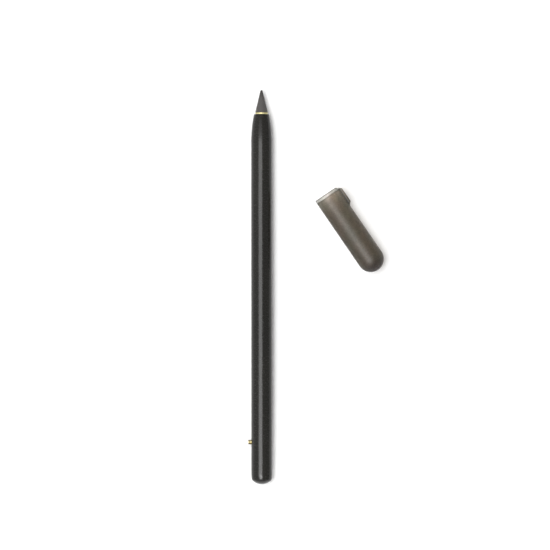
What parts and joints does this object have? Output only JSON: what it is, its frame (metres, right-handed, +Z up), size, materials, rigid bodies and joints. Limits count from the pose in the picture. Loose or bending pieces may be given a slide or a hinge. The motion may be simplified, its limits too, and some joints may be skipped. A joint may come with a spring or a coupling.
{
  "type": "everlasting pencil",
  "caption": "Round black pencil with a turned nose, a screwed-in graphite alloy tip on a brass ring and a brass side stud, with its translucent cap lying beside it.",
  "frame": {"origin": "on the table plane, on the line that the barrel rests on, under the middle of the pencil's length", "axes": "+Z up, +Y along the pencil toward its point, -X toward the side stud; the cap lies on the +X side"},
  "size_m": [0.0551, 0.16, 0.0107],
  "materials": {
    "black_lacquered_wood": "satin",
    "brass": "satin",
    "graphite_alloy": "satin",
    "plain_steel": "satin",
    "smoke_plastic": "satin"
  },
  "bodies": {
    "pencil": {"barrel": "black_lacquered_wood", "threaded_ferrule": "brass", "side_stud": "brass"},
    "tip": {"graphite_tip": "graphite_alloy", "tip_screw": "plain_steel"},
    "cap": {"cap": "smoke_plastic"}
  },
  "joints": [
    {"name": "tip_unscrew", "type": "slide", "parent": "pencil", "child": "tip", "axis": [0, 1, 0], "range_m": [0, 0.01]},
    {"name": "cap_pull", "type": "slide", "parent": "pencil", "child": "cap", "axis": [0.5644, -0.8255, 0], "range_m": [0, 0.036]}
  ]
}
